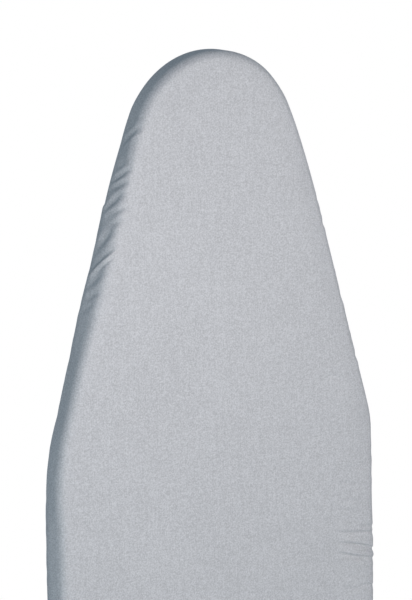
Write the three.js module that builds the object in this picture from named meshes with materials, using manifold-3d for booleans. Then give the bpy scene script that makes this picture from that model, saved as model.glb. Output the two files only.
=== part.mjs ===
// Padded ironing board cover, shown as it sits when a board fills it.
// Millimetres. +Z is up, the nose points to +Y, and the hem rests on z = 0 under the origin.
import * as THREE from 'three';
import { mergeVertices } from 'three/addons/utils/BufferGeometryUtils.js';
import Module from 'manifold-3d';

const wasm = await Module();
wasm.setup();

// Board that the cover fits, seen from above: a round nose, long tapered flanks and a square tail
const BOARD_LENGTH = 1372;
const BOARD_WIDTH = 381;
const BOARD_THICKNESS = 17;
const NOSE_RADIUS = 92;
const FLANK_RADIUS = 1012;
const CORNER_RADIUS = 210;
const TAIL_RADIUS = 60;
const NOSE_END_ANGLE = THREE.MathUtils.degToRad(22.3);
const TAPER_ANGLE = THREE.MathUtils.degToRad(15.8);

// Layers of the cover
const CLOTH = 1;
const FELT = 3;
const FOAM = 6;
const EASE = 3.5;
const GAP = 0.3;
const SHOULDER_RADIUS = 10;
const FOLD_RADIUS = 4.5;
const CROWN = 1.2;
const CROWN_MARGIN = 45;

// Hem under the board
const FLANGE_WIDTH = 30;
const CASING_WIDTH = 16;
const CASING_HEIGHT = 3.4;
const CASING_WALL = 0.8;
const CASING_OVERHANG = 8;
const ELASTIC_WIDTH = 10;
const POCKET_DEPTH = 150;
const POCKET_MARGIN = 2;
const POCKET_TAPE_WIDTH = 14;

// Straps across the underside, closed by hook and loop tape
const STRAP_COUNT = 3;
const STRAP_FRONT_MARGIN = 105.4;
const STRAP_REAR_MARGIN = 120;
const STRAP_WIDTH = 38;
const STRAP_THICKNESS = 1.2;
const STRAP_END_RADIUS = 8;
const STRAP_CLEARANCE = 4;
const ANCHOR_LENGTH = 24;
const TAPE_THICKNESS = 1;
const TAPE_MARGIN = 4;
const LOOP_LENGTH = 56;
const HOOK_LENGTH = 44;
const PULL_LENGTH = 10;

// Curve steps
const NOSE_STEPS = 16;
const FLANK_STEPS = 2;
const CORNER_STEPS = 3;
const TAIL_STEPS = 6;
const EDGE_STEPS = 3;
const END_STEPS = 4;

// Heights, from the hem up
const flangeBottom = CASING_HEIGHT + GAP;
const flangeTop = flangeBottom + CLOTH;
const feltBottom = flangeTop + BOARD_THICKNESS + 2 * GAP;
const feltTop = feltBottom + FELT;
const foamBottom = feltTop + GAP;
const foamTop = foamBottom + FOAM;
const clothInside = foamTop + GAP;
const clothTop = clothInside + CLOTH;
const pocketTop = flangeBottom - GAP;
const pocketBottom = pocketTop - CLOTH;

// Offsets from the board's edge, outwards positive
const wallOutside = EASE + CLOTH;
const shoulderCentre = wallOutside - SHOULDER_RADIUS;
const shoulderHeight = clothTop - CROWN - SHOULDER_RADIUS;
const padRadius = SHOULDER_RADIUS - CLOTH - GAP;
const flangeEdge = -FLANGE_WIDTH;
const casingInner = flangeEdge - CASING_OVERHANG;
const casingOuter = casingInner + CASING_WIDTH;

// Ends of the cover and of the nose pocket
const halfLength = BOARD_LENGTH / 2;
const halfWidth = BOARD_WIDTH / 2;
const pocketEnd = halfLength + wallOutside - POCKET_DEPTH;

const cloth = new THREE.MeshStandardMaterial({ color: '#bfc1c6', roughness: 0.55, metalness: 0.35 });
const foam = new THREE.MeshStandardMaterial({ color: '#e4e0d4', roughness: 0.95, metalness: 0 });
const felt = new THREE.MeshStandardMaterial({ color: '#b9b4aa', roughness: 1, metalness: 0 });
const binding = new THREE.MeshStandardMaterial({ color: '#8b8177', roughness: 0.9, metalness: 0 });
const elastic = new THREE.MeshStandardMaterial({ color: '#e9e7e1', roughness: 0.85, metalness: 0 });
const webbing = new THREE.MeshStandardMaterial({ color: '#6f7276', roughness: 0.9, metalness: 0 });
const fastener = new THREE.MeshStandardMaterial({ color: '#3f4245', roughness: 0.95, metalness: 0 });

const boardArcs = outlineArcs();
const cover = new THREE.Group();

function point(centre, radius, angle) {
  return new THREE.Vector2(Math.cos(angle), Math.sin(angle)).multiplyScalar(radius).add(centre);
}

// The board's outline as arcs of rising normal angle, anticlockwise from the tail.
// Straight stretches lie between arcs, and a joined arc starts where the one before it ends.
function outlineArcs() {
  const nose = new THREE.Vector2(0, halfLength - NOSE_RADIUS);
  const flank = point(nose, NOSE_RADIUS - FLANK_RADIUS, NOSE_END_ANGLE);
  const taperStart = point(flank, FLANK_RADIUS, TAPER_ANGLE);
  const cornerX = halfWidth - CORNER_RADIUS;
  const taperRun = cornerX + CORNER_RADIUS * Math.cos(TAPER_ANGLE) - taperStart.x;
  const taperEndY = taperStart.y - taperRun / Math.tan(TAPER_ANGLE);
  const corner = new THREE.Vector2(cornerX, taperEndY - CORNER_RADIUS * Math.sin(TAPER_ANGLE));
  const tail = new THREE.Vector2(halfWidth - TAIL_RADIUS, TAIL_RADIUS - halfLength);
  const rightSide = [
    { centre: tail, radius: TAIL_RADIUS, from: -Math.PI / 2, to: 0, steps: TAIL_STEPS },
    { centre: corner, radius: CORNER_RADIUS, from: 0, to: TAPER_ANGLE, steps: CORNER_STEPS },
    { centre: flank, radius: FLANK_RADIUS, from: TAPER_ANGLE, to: NOSE_END_ANGLE, steps: FLANK_STEPS },
  ];
  const tip = {
    centre: nose,
    radius: NOSE_RADIUS,
    from: NOSE_END_ANGLE,
    to: Math.PI - NOSE_END_ANGLE,
    steps: NOSE_STEPS,
    joined: true,
  };
  const leftSide = rightSide.map((arc) => mirroredArc(arc)).reverse();
  leftSide[0].joined = true;
  return [...rightSide, tip, ...leftSide];
}

function mirroredArc(arc) {
  const centre = new THREE.Vector2(-arc.centre.x, arc.centre.y);
  return { ...arc, centre, from: Math.PI - arc.to, to: Math.PI - arc.from };
}

function outline(offset) {
  return boardArcs.flatMap((arc) => {
    const { x, y } = arc.centre;
    const curve = new THREE.ArcCurve(x, y, arc.radius + offset, arc.from, arc.to, false);
    const points = curve.getPoints(arc.steps);
    return arc.joined ? points.slice(1) : points;
  });
}

function ring(offset, height) {
  return outline(offset).map((spot) => new THREE.Vector3(spot.x, spot.y, height));
}

// The domed middle of a layer: the ring at its shoulder, drawn in by the crown's margin
function crownRing(shoulderRing, height) {
  const across = 1 - CROWN_MARGIN / halfWidth;
  const along = 1 - CROWN_MARGIN / halfLength;
  return shoulderRing.map((spot) => new THREE.Vector3(spot.x * across, spot.y * along, height));
}

function edgeArc(centreOffset, centreHeight, radius, from, to) {
  const curve = new THREE.ArcCurve(centreOffset, centreHeight, radius, from, to, to < from);
  return curve.getPoints(EDGE_STEPS).map((spot) => ring(spot.x, spot.y));
}

// A skin through rings of equal count. It is capped below its first ring and above its last,
// or joined from the last ring to the first.
function loft(rings, joined) {
  const count = rings[0].length;
  const index = [];
  const bands = joined ? rings.length : rings.length - 1;
  for (let band = 0; band < bands; band += 1) {
    const near = band * count;
    const far = ((band + 1) % rings.length) * count;
    for (let step = 0; step < count; step += 1) {
      const next = (step + 1) % count;
      index.push(near + step, near + next, far + next);
      index.push(near + step, far + next, far + step);
    }
  }
  if (!joined) {
    const last = (rings.length - 1) * count;
    const flat = rings[0].map((spot) => new THREE.Vector2(spot.x, spot.y));
    for (const [a, b, c] of THREE.ShapeUtils.triangulateShape(flat, [])) {
      index.push(c, b, a);
      index.push(last + a, last + b, last + c);
    }
  }
  const geometry = new THREE.BufferGeometry().setFromPoints(rings.flat());
  geometry.setIndex(index);
  return geometry;
}

// A band of rectangular section that follows the outline
function loop(inner, outer, bottom, top) {
  return loft([ring(outer, bottom), ring(outer, top), ring(inner, top), ring(inner, bottom)], true);
}

function slab(offset, bottom, top) {
  return loft([ring(offset, bottom), ring(offset, top)], false);
}

// A box across the whole cover, between two places along its length
function slice(from, to) {
  const box = new THREE.BoxGeometry(2 * BOARD_WIDTH, to - from, 2 * clothTop);
  box.translate(0, (from + to) / 2, 0);
  return box;
}

function solid(geometry) {
  const bare = geometry.clone();
  bare.deleteAttribute('normal');
  bare.deleteAttribute('uv');
  const merged = mergeVertices(bare);
  return new wasm.Manifold(new wasm.Mesh({
    numProp: 3,
    vertProperties: merged.attributes.position.array,
    triVerts: Uint32Array.from(merged.index.array),
  }));
}

function geometryOf(shape) {
  const mesh = shape.getMesh();
  const geometry = new THREE.BufferGeometry();
  geometry.setAttribute('position', new THREE.BufferAttribute(mesh.vertProperties, 3));
  geometry.setIndex(new THREE.BufferAttribute(mesh.triVerts, 1));
  return geometry;
}

function addPiece(name, geometry, material, x = 0, y = 0, z = 0) {
  const mesh = new THREE.Mesh(geometry, material);
  mesh.name = name;
  mesh.position.set(x, y, z);
  cover.add(mesh);
}

// Cloth shell: pressing face, rounded shoulder, side wall, fold and the flange under the board
function topCover() {
  const foldCentre = wallOutside - FOLD_RADIUS;
  const foldHeight = flangeBottom + FOLD_RADIUS;
  const insideShoulder = edgeArc(shoulderCentre, shoulderHeight, SHOULDER_RADIUS - CLOTH, Math.PI / 2, 0);
  const insideFold = edgeArc(foldCentre, foldHeight, FOLD_RADIUS - CLOTH, 0, -Math.PI / 2);
  const outsideFold = edgeArc(foldCentre, foldHeight, FOLD_RADIUS, -Math.PI / 2, 0);
  const outsideShoulder = edgeArc(shoulderCentre, shoulderHeight, SHOULDER_RADIUS, 0, Math.PI / 2);
  const rings = [
    crownRing(insideShoulder.at(0), clothInside),
    ...insideShoulder,
    ...insideFold,
    ring(flangeEdge, flangeTop),
    ring(flangeEdge, flangeBottom),
    ...outsideFold,
    ...outsideShoulder,
    crownRing(outsideShoulder.at(-1), clothTop),
  ];
  addPiece('top_cover', loft(rings, false), cloth);
}

// How far out the padding reaches at a height, inside the cloth's shoulder
function padEdge(height) {
  const rise = Math.max(0, height - shoulderHeight);
  return shoulderCentre + Math.sqrt(padRadius ** 2 - rise ** 2);
}

function padding() {
  const edgeStart = Math.asin((foamBottom - shoulderHeight) / padRadius);
  const edge = edgeArc(shoulderCentre, shoulderHeight, padRadius, edgeStart, Math.PI / 2);
  const rings = [...edge, crownRing(edge.at(-1), foamTop)];
  addPiece('foam_pad', loft(rings, false), foam);
  addPiece('felt_underlay', slab(Math.min(0, padEdge(feltTop)), feltBottom, feltTop), felt);
}

// Panel under the nose, and the tape along its rear edge
function nosePocket() {
  const nose = solid(slice(pocketEnd, BOARD_LENGTH));
  const panel = solid(slab(-POCKET_MARGIN, pocketBottom, pocketTop)).intersect(nose);
  addPiece('nose_pocket', geometryOf(panel), cloth);
  const tapeTop = pocketBottom - GAP;
  const rear = solid(slice(pocketEnd, pocketEnd + POCKET_TAPE_WIDTH));
  const tape = solid(slab(-POCKET_MARGIN, tapeTop - TAPE_THICKNESS, tapeTop)).intersect(rear);
  addPiece('pocket_hem_tape', geometryOf(tape), binding);
}

// Hollow tape under the flange, open at the pocket, with the elastic inside it
function elasticHem() {
  const body = solid(slice(-BOARD_LENGTH, pocketEnd - GAP));
  const inner = casingInner + CASING_WALL;
  const outer = casingOuter - CASING_WALL;
  const tube = solid(loop(casingInner, casingOuter, 0, CASING_HEIGHT));
  const hollow = solid(loop(inner, outer, CASING_WALL, CASING_HEIGHT - CASING_WALL));
  addPiece('hem_casing', geometryOf(tube.subtract(hollow).intersect(body)), binding);
  const middle = (inner + outer) / 2;
  const band = loop(
    middle - ELASTIC_WIDTH / 2,
    middle + ELASTIC_WIDTH / 2,
    CASING_WALL + GAP,
    CASING_HEIGHT - CASING_WALL - GAP,
  );
  addPiece('hem_elastic', geometryOf(solid(band).intersect(body)), elastic);
}

// A flat piece of strap width, square at its left end and rounded at its right end
function tongue(length, thickness) {
  const side = STRAP_WIDTH / 2;
  const shape = new THREE.Shape();
  shape.moveTo(0, -side);
  shape.lineTo(length - STRAP_END_RADIUS, -side);
  shape.absarc(length - STRAP_END_RADIUS, STRAP_END_RADIUS - side, STRAP_END_RADIUS, -Math.PI / 2, 0, false);
  shape.absarc(length - STRAP_END_RADIUS, side - STRAP_END_RADIUS, STRAP_END_RADIUS, 0, Math.PI / 2, false);
  shape.lineTo(0, side);
  const options = { depth: thickness, bevelEnabled: false, curveSegments: END_STEPS };
  return new THREE.ExtrudeGeometry(shape, options);
}

// The strap's band seen from the side: it leaves its anchor level and dips under the loop tape
function strapBand(length, level, dip) {
  const shape = new THREE.Shape();
  shape.moveTo(0, -STRAP_THICKNESS);
  shape.lineTo(level, -dip - STRAP_THICKNESS);
  shape.lineTo(length, -dip - STRAP_THICKNESS);
  shape.lineTo(length, -dip);
  shape.lineTo(level, -dip);
  shape.lineTo(0, 0);
  const side = new THREE.ExtrudeGeometry(shape, { depth: STRAP_WIDTH, bevelEnabled: false });
  side.rotateX(Math.PI / 2);
  side.translate(0, STRAP_WIDTH / 2, 0);
  const depth = dip + 2 * STRAP_THICKNESS;
  const plan = tongue(length, 2 * depth);
  plan.translate(0, 0, -depth);
  return geometryOf(solid(side).intersect(solid(plan)));
}

function strap(number, y) {
  const flangeX = halfWidth + flangeEdge - GAP;
  const casingX = halfWidth + casingInner - STRAP_CLEARANCE;
  const bandStart = ANCHOR_LENGTH + GAP - flangeX;
  const loopStart = casingX - LOOP_LENGTH;
  const tabStart = loopStart - TAPE_MARGIN;
  const hookStart = casingX - PULL_LENGTH - HOOK_LENGTH;
  const loopBottom = flangeBottom - TAPE_THICKNESS;
  const hookBottom = loopBottom - GAP - TAPE_THICKNESS;
  const flat = Math.min(loopStart, hookStart) - TAPE_MARGIN;

  const anchor = new THREE.BoxGeometry(ANCHOR_LENGTH, STRAP_WIDTH, CLOTH);
  const anchorHeight = (flangeBottom + flangeTop) / 2;
  addPiece(`strap_anchor_${number}`, anchor, webbing, ANCHOR_LENGTH / 2 - flangeX, y, anchorHeight);
  const band = strapBand(casingX - bandStart, flat - bandStart, flangeTop - hookBottom);
  addPiece(`strap_band_${number}`, band, webbing, bandStart, y, flangeTop);
  addPiece(`hook_tape_${number}`, tongue(HOOK_LENGTH, TAPE_THICKNESS), fastener, hookStart, y, hookBottom);

  addPiece(`loop_tape_${number}`, tongue(LOOP_LENGTH, TAPE_THICKNESS), fastener, loopStart, y, loopBottom);
  const tab = tongue(flangeX - tabStart, CLOTH);
  tab.rotateZ(Math.PI);
  addPiece(`loop_tab_${number}`, tab, webbing, flangeX, y, flangeBottom);
}

// Straps are spread evenly along the straight sides
function straps() {
  const tailArc = boardArcs[0];
  const cornerArc = boardArcs[1];
  const first = cornerArc.centre.y - STRAP_FRONT_MARGIN;
  const last = tailArc.centre.y + STRAP_REAR_MARGIN;
  for (let number = 1; number <= STRAP_COUNT; number += 1) {
    const share = (number - 1) / (STRAP_COUNT - 1);
    strap(number, THREE.MathUtils.lerp(first, last, share));
  }
}

topCover();
padding();
nosePocket();
elasticHem();
straps();

export default cover;
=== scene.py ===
# Ironing board cover: what is seen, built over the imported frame. Metres, in the frame's axes.
import math
from collections import namedtuple

import bmesh
import bpy
import numpy as np
from mathutils import Matrix, Vector


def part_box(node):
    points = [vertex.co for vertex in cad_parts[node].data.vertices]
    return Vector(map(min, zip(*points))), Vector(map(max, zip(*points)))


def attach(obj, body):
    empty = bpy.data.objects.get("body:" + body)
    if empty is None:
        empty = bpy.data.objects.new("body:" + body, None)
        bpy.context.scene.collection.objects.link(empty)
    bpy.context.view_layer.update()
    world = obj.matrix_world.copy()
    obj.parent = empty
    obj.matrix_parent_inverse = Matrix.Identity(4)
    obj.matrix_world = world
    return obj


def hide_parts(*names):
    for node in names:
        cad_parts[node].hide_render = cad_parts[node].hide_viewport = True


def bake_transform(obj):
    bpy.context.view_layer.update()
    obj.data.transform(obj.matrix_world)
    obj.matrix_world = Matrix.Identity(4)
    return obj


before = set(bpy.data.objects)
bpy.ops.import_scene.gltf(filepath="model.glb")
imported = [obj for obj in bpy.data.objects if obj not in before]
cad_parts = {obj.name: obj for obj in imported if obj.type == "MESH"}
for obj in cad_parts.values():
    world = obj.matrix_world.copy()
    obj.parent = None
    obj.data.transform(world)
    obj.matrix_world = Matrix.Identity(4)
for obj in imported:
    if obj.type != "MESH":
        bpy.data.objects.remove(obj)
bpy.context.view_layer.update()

# Board that the cover fits, as in the part's source
BOARD_LENGTH = 1.372
BOARD_WIDTH = 0.381
NOSE_RADIUS = 0.092
FLANK_RADIUS = 1.012
CORNER_RADIUS = 0.210
TAIL_RADIUS = 0.060
NOSE_END_ANGLE = math.radians(22.3)
TAPER_ANGLE = math.radians(15.8)

# Layers and hem of the cover. The stretched cloth presses the foam down by the foam's ease.
CLOTH = 0.001
FOAM_EASE = 0.0012
SHOULDER_RADIUS = 0.010
FOLD_RADIUS = 0.0045
CROWN = 0.0012
CROWN_FADE = 0.0085
FLANGE_WIDTH = 0.030
CASING_WIDTH = 0.016
CASING_WALL = 0.0006
POCKET_MARGIN = 0.002

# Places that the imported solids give
COVER_LOW, COVER_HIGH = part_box("top_cover")
CASING_LOW, CASING_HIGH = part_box("hem_casing")
POCKET_LOW, POCKET_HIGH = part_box("nose_pocket")
WALL = COVER_HIGH.x - BOARD_WIDTH / 2
FLANGE_BOTTOM = COVER_LOW.z
CLOTH_TOP = COVER_HIGH.z
POCKET_END = POCKET_LOW.y
HEM_END = CASING_HIGH.y
CASING_MIDDLE = CASING_HIGH.x - CASING_WIDTH / 2 - BOARD_WIDTH / 2

# Arcs of the cover's side: the fold under the wall, and the shoulder that runs out into the crown
FOLD_CENTRE = WALL - FOLD_RADIUS
FOLD_HEIGHT = FLANGE_BOTTOM + FOLD_RADIUS
SHOULDER_CENTRE = WALL - SHOULDER_RADIUS
SHOULDER_HEIGHT = CLOTH_TOP - CROWN - SHOULDER_RADIUS
SHOULDER_END = math.pi / 2 - math.atan(CROWN / CROWN_FADE)

# Unrolled heights up the cover's side, from the bottom of the fold
FOLD_CLIMB = FOLD_RADIUS * math.pi / 2
WALL_CLIMB = FOLD_CLIMB + SHOULDER_HEIGHT - FOLD_HEIGHT
SHOULDER_CLIMB = WALL_CLIMB + SHOULDER_RADIUS * SHOULDER_END

# Mesh spacing: finer in front, where the creases are, and finest beside the first strap's tab
FRONT_START = 0.22
TAB_START = 0.09
TAB_SPACING = 0.0006
FRONT_SPACING = 0.0015
REAR_SPACING = 0.0030
PAD_SPACING = 0.007
HEM_SPACING = 0.0024
ARC_POINTS = 400
RUN_POINTS = 20000
FLANGE_ROWS = 10
FOLD_ROWS = 6
WALL_ROWS = 9
SHOULDER_ROWS = 10
RIM_SPACING = 0.0022
RIM_WIDTH = 0.052
MIDDLE_ROWS = 6
MERGE = 0.00002

# Stitches: places along one, as shares of its length, with the thread's radius and lift at each
STITCH_LENGTH = 0.0030
STITCH_PITCH = 0.0040
THREAD_RADIUS = 0.00022
THREAD_SIDES = 5
STITCH_SHARES = np.array([0.0, 0.2, 0.8, 1.0])
STITCH_RADII = THREAD_RADIUS * np.array([0.45, 1.0, 1.0, 0.45])
STITCH_LIFTS = THREAD_RADIUS * np.array([-0.7, 0.5, 0.5, -0.7])
DOWN = np.array([0.0, 0.0, -1.0])

# A crease runs from one place to another. A place is the y of the board's edge beside it and a climb.
Crease = namedtuple("Crease", "side from_y from_climb to_y to_climb depth width")
LEFT = -1
RIGHT = 1

# How a group's creases are shaped. Ease widens one of a crease's two sides. Lip is the height of its
# raised lips, as a share of its depth. Sway bends it to and fro.
CreaseShape = namedtuple("CreaseShape", "ease lip sway")
PLAIN_CREASE = CreaseShape(1.0, 0.45, 0.0)
TUCK = CreaseShape(2.6, 0.18, 0.0005)
SWAY_TURNS = 1.2
LIP_PLACE = 2
CREASE_FADE = 0.8
SLACK_START = 0.7

# Slack diagonal creases in the left wall, behind the nose. A raised fold has a depth below nothing.
WALL_CREASES = [Crease(LEFT, *row) for row in (
    (0.621, 0.030, 0.599, 0.008, 0.0016, 0.0026),
    (0.588, 0.025, 0.574, 0.009, 0.0005, 0.0030),
    (0.580, 0.029, 0.561, 0.007, 0.0019, 0.0024),
    (0.568, 0.030, 0.554, 0.007, 0.0016, 0.0026),
    (0.556, 0.027, 0.532, 0.006, 0.0018, 0.0024),
    (0.546, 0.036, 0.533, 0.020, 0.0010, 0.0024),
    (0.532, 0.034, 0.520, 0.018, 0.0009, 0.0026),
    (0.522, 0.026, 0.492, 0.007, 0.0017, 0.0034),
    (0.504, 0.0365, 0.468, 0.007, -0.0025, 0.0016),
    (0.480, 0.026, 0.459, 0.009, 0.0014, 0.0036),
    (0.460, 0.026, 0.442, 0.007, 0.0011, 0.0032),
    (0.450, 0.026, 0.434, 0.008, 0.0009, 0.0032),
)]

# Tucks across the right rim, drawn in to the first strap's tab. Their rear sides are eased.
TAB_CREASES = [Crease(RIGHT, *row) for row in (
    (0.3460, 0.076, 0.3320, 0.050, 0.0006, 0.0018),
    (0.3155, 0.064, 0.3060, 0.024, 0.0007, 0.0016),
    (0.2410, 0.076, 0.2350, 0.036, 0.0005, 0.0016),
    (0.2240, 0.080, 0.2185, 0.048, 0.0005, 0.0016),
    (0.2035, 0.080, 0.1990, 0.036, 0.0006, 0.0017),
    (0.1955, 0.080, 0.1895, 0.052, 0.0005, 0.0016),
    (0.1725, 0.056, 0.1655, 0.012, 0.0010, 0.0019),
    (0.1705, 0.082, 0.1592, 0.018, 0.0018, 0.0016),
    (0.1590, 0.078, 0.1421, 0.020, 0.0025, 0.0014),
    (0.1440, 0.056, 0.1425, 0.024, 0.0014, 0.0009),
    (0.1380, 0.048, 0.1410, 0.024, 0.0012, 0.0009),
    (0.1460, 0.078, 0.1308, 0.021, 0.0024, 0.0014),
    (0.1340, 0.050, 0.1300, 0.028, 0.0006, 0.0014),
    (0.1160, 0.080, 0.1175, 0.050, 0.0004, 0.0017),
    (0.1095, 0.075, 0.1015, 0.046, 0.0006, 0.0017),
    (0.1070, 0.056, 0.1025, 0.020, 0.0010, 0.0014),
)]

# Slack drag lines in the rest of the walls, with the least and the most of what varies
DRAG_FRONTS = ((RIGHT, 0.53), (LEFT, 0.09))
DRAG_REAR = -0.66
DRAG_LAST = -0.68
DRAG_PITCH = 0.034
DRAG_SHIFT = (-0.010, 0.010)
DRAG_SLANT = (0.010, 0.026)
DRAG_TOP = (0.022, 0.032)
DRAG_FOOT = 0.004
DRAG_DEPTH = (0.0003, 0.0012)
DRAG_WIDTH = (0.0025, 0.0045)
DRAG_SEED = 7

# Slack stretches of the walls. Their tops lean in, from a foot in the wall to past the shoulder.
Stretch = namedtuple("Stretch", "side front_y rear_y lean")
LEAN_FRONT = 0.030
LEAN_REAR = 0.060
LEAN_FOOT = 0.009
LEAN_RISE = 0.016
LEAN_FADE = 0.040
WALL_LEANS = [
    Stretch(LEFT, 0.600, 0.405, 0.0028),
    Stretch(LEFT, 0.570, 0.470, 0.0008),
    Stretch(LEFT, 0.445, 0.370, 0.0010),
    Stretch(LEFT, 0.315, 0.060, 0.0018),
    Stretch(LEFT, 0.245, 0.075, 0.0014),
    Stretch(RIGHT, 0.674, 0.605, 0.0013),
    Stretch(RIGHT, 0.292, 0.150, 0.0017),
]

# Stretches of the lower wall that the hem draws in. One with a lean below nothing stands out.
LOW_RUN = 0.025
LOW_LEANS = [
    Stretch(LEFT, 0.655, 0.595, -0.0007),
    Stretch(LEFT, 0.478, 0.385, -0.0009),
    Stretch(LEFT, 0.358, 0.310, 0.0008),
    Stretch(LEFT, 0.312, 0.228, 0.0010),
]

# Step in the lower wall where the snug pocket ends
STEP_LEAD = 0.002
STEP_IN = 0.0004
STEP_OUT = 0.0011
STEP_RUN = 0.005
STEP_FADE = 0.014
STEP_CLIMB = 0.006
STEP_HEIGHT = 0.010

# Right shoulder along the taper, which sits below its arc
LOW_RIM_FRONT = 0.62
LOW_RIM_REAR = 0.20
LOW_RIM_RUN = 0.08
LOW_RIM_DROP = 0.0014
LOW_RIM_FADE = 0.012

# Pleats that the elastic draws into the flange and the foot of the wall, deeper round the tail
Pleats = namedtuple("Pleats", "weight pitch seed")
PLEATS = (Pleats(0.7, 0.0085, 11), Pleats(0.5, 0.019, 12))
PLEAT_DEPTH = 0.0008
PLEAT_RUN = 0.03
TAIL_START = -0.60
TAIL_RUN = 0.06
TAIL_DEPTH = 0.0006
PLEAT_RISE = 1.6
FOOT_SHARE = 0.35
FOOT_CLIMB = 0.003
FOOT_FADE = 0.007
FOOT_START = -0.002

# Foam and felt. The foam gives way under the deepest tucks. The felt's cut edge is given as insets from
# its outline, with heights above its underside or depths below its top.
PAD_SHARES = (1.0, 0.8, 0.6, 0.4, 0.25, 0.12, 0.05)
FOAM_ARC_ROWS = 7
FOAM_UNDERCUT = 0.001
PRESS_MIDDLE = 0.146
PRESS_RUN = 0.030
PRESS_DEPTH = 0.0014
PRESS_CLIMB = 0.060
PRESS_FADE = 0.030
FELT_LOW_RIM = ((0.0012, 0.0), (0.0003, 0.0006), (0.0, 0.0015))
FELT_HIGH_RIM = ((0.0004, 0.0004), (0.0012, 0.0))
FELT_WAVE = 0.0002
FELT_WAVE_SIZE = 0.09
FELT_SEED = 31
WAVE_COUNT = 5
WAVE_STRETCH = (0.7, 1.4)
WAVE_PHASE = (0, 6)

# Hem: its tape is ruched along the inner edge and pressed flat along the seam
HEM_CUT = 0.008
LEAST_AHEAD = 0.1
FLATTEN_ACROSS = 0.45
FLATTEN_UP = 0.6
CASING_SIDES = 22
ELASTIC_SIDES = 10
RUCHE_PITCH = 0.0075
RUCHE_LIFT = 0.0003
RUCHE_SEED = 21
RUFFLE_PITCH = 0.0110
RUFFLE_DEPTH = 0.0010
RUFFLE_SEED = 22
RUFFLE_POWER = 3
HEM_SEAM_INSET = 0.003
HEM_SEAM_WIDTH = 0.0011
HEM_SEAM_LIFT = 0.0007
HEM_STITCH_LIFT = 0.0006

# Nose pocket: its panel sags to the rear, and puckers along its seam. It is bound with tape.
POCKET_SAG = 0.0007
SAG_RISE = 1.5
PUCKER_SHARE = 0.25
PUCKER_DEPTH = 0.0003
PUCKER_PITCH = 0.011
PUCKER_PHASE = 3
PUCKER_HALF_WIDTH = 0.07
POCKET_ROUND_START = 0.3
POCKET_ROUND_END = math.radians(86)
POCKET_STRAIGHT_ROWS = 24
POCKET_ROUND_ROWS = 22
POCKET_COLUMNS = 49
BINDING_ROWS = 6
BINDING_COLUMNS = 61
BINDING_SEAMS = (1, 4)
BINDING_SEAM_END = 2
POCKET_SEAM_INSET = 0.006
POCKET_SEAM_LIFT = 0.0001

# Straps. A band laps under its anchor, then eases down to its hook tape with a slight sag.
STRAP_NUMBERS = (1, 2, 3)
STRAP_END_RADIUS = 0.008
STRAP_END_ROWS = 7
SELVEDGE_POWER = 10
ANCHOR_ROWS = 8
BandMesh = namedtuple("BandMesh", "columns spacing rough")
TAPE_MESH = BandMesh(15, 0.003, 0.0)
BAND_MESH = BandMesh(19, 0.0018, 0.0)
LOOP_MESH = BandMesh(39, 0.001, 0.00016)
LOOP_SEED = 40
BAND_SAG = 0.0005
BAND_WAVE = 0.07
LAP = 0.013
LAP_GAP = 0.0001
DIP_MARGIN = 0.006
EASE_FROM = 0.25
EASE_TO = 0.75
STRAP_SEAM_INSET = 0.003
LAP_SEAM_MARGIN = 0.004
BAND_STITCH_LIFT = 0.00006

# Hooks of the fasteners, each made of rings with a radius, a lean and a height
HOOK_PITCH = 0.0017
HOOK_MARGIN = 0.0035
HOOK_SINK = 0.0002
HOOK_SIDES = 4
HOOK_RINGS = ((0.00040, 0.0, 0.0), (0.00026, 0.00004, 0.00022), (0.00014, 0.00026, 0.00036))

# Dark and light shades of the materials
SILVER = ((0.424, 0.427, 0.437), (0.640, 0.643, 0.655))
UNDYED = ((0.50, 0.47, 0.41), (0.70, 0.67, 0.61))
TAUPE = ((0.215, 0.185, 0.155), (0.330, 0.295, 0.255))
OFF_WHITE = ((0.66, 0.64, 0.60), (0.84, 0.82, 0.78))
DARK_GREY = ((0.120, 0.125, 0.132), (0.205, 0.212, 0.222))
THREAD_GREY = ((0.36, 0.35, 0.34), (0.56, 0.55, 0.54))
HOOK_BLACK = ((0.030, 0.032, 0.035), (0.075, 0.078, 0.083))
LOOP_BLACK = ((0.045, 0.047, 0.050), (0.105, 0.108, 0.113))
FELT_GREY = ((0.30, 0.285, 0.26), (0.56, 0.545, 0.51))
CREAM = ((0.62, 0.58, 0.46), (0.80, 0.77, 0.68))

# Camera, floor and light
CAMERA_PLACE = Vector((-1.5611, 0.9885, 2.5020))
CAMERA_FORWARD = Vector((0.52070, -0.18572, -0.83330))
CAMERA_UP = Vector((0.10765, 0.98255, -0.15171))
CAMERA_LENS = 175.0
SENSOR_WIDTH = 36.0
FLOOR_LEVEL = -0.34
FLOOR_SIZE = 12.0
WHITE = (1, 1, 1, 1)
WORLD_COLOUR = (0.245, 0.299, 0.350, 1)
Light = namedtuple("Light", "name place target size power colour")
LIGHTS = [
    Light("key", (-0.08, 0.54, 0.95), (-0.08, 0.51, 0.0), 0.6, 4.29, (1.0, 0.937, 0.937)),
    Light("tail", (-0.05, -0.62, 1.0), (-0.05, -0.58, 0.0), 0.6, 2.1, (1.0, 0.94, 0.88)),
    Light("right", (1.3, 0.6, 1.9), (0.0, 0.40, 0.0), 0.8, 8.4, (1.0, 0.903, 0.835)),
    Light("left", (-1.6, -0.2, 1.2), (-0.1, 0.30, 0.0), 0.8, 7.6, (0.86, 0.965, 1.0)),
    Light("under", (0.7, -0.3, -1.1), (0.0, 0.0, 0.0), 0.8, 13.0, (1.0, 0.95, 0.90)),
]


# Shares and distances

def direction(angle):
    return np.stack([np.cos(angle), np.sin(angle)], -1)


def smooth(share):
    """Eases from 0 to 1 as the share does."""
    share = np.clip(share, 0, 1)
    return share * share * (3 - 2 * share)


def bell(distance, width):
    """1 at no distance, falling to nearly 0 at two widths."""
    return np.exp(-((distance / width) ** 2))


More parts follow.
